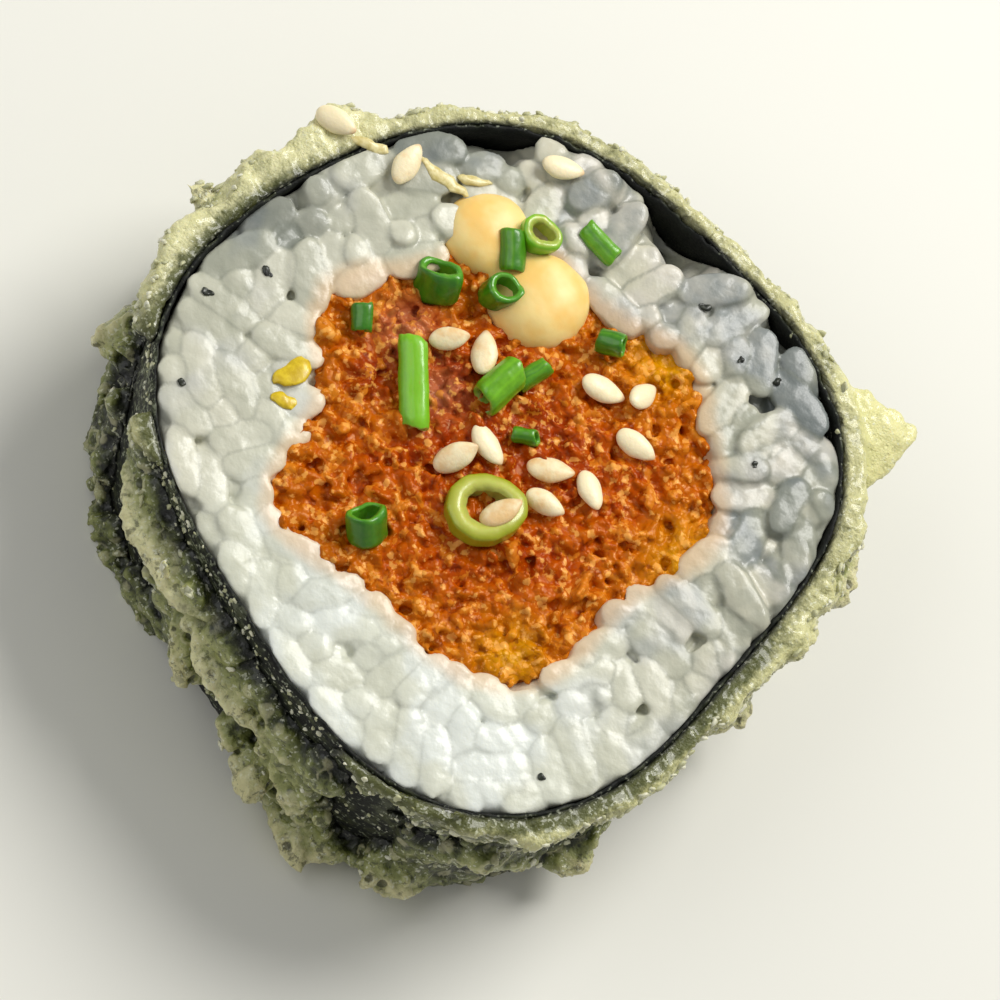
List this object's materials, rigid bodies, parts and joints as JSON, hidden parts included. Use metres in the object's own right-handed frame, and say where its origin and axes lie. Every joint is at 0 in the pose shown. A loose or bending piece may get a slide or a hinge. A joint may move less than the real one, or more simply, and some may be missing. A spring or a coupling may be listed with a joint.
{
  "type": "battered and fried maki roll slice",
  "caption": "Thick slice of a battered, fried maki roll, with seaweed, rice, minced orange filling, mayonnaise dots, sesame seeds and chives.",
  "frame": {"origin": "on the roll's axis, at the lower cut face that the slice rests on", "axes": "+Z along the roll's axis, up towards the garnished cut face; -Y is the side wall that the picture shows"},
  "size_m": [0.0503, 0.0502, 0.0178],
  "materials": {
    "batter": "crisp fried batter, cream-yellow where thick and dark olive where thin",
    "seaweed": "toasted seaweed sheet, nearly black green, slightly damp",
    "rice": "moist cooked short-grain rice, white and slightly translucent",
    "filling": "glossy minced orange-brown filling in sauce",
    "mayonnaise": "smooth pale orange mayonnaise",
    "sesame": "toasted white sesame seed",
    "chive": "fresh snipped chive, bright green"
  },
  "bodies": {
    "root": {"batter": "batter", "nori": "seaweed", "rice": "rice", "filling": "filling", "mayo": "mayonnaise"}
  },
  "joints": []
}
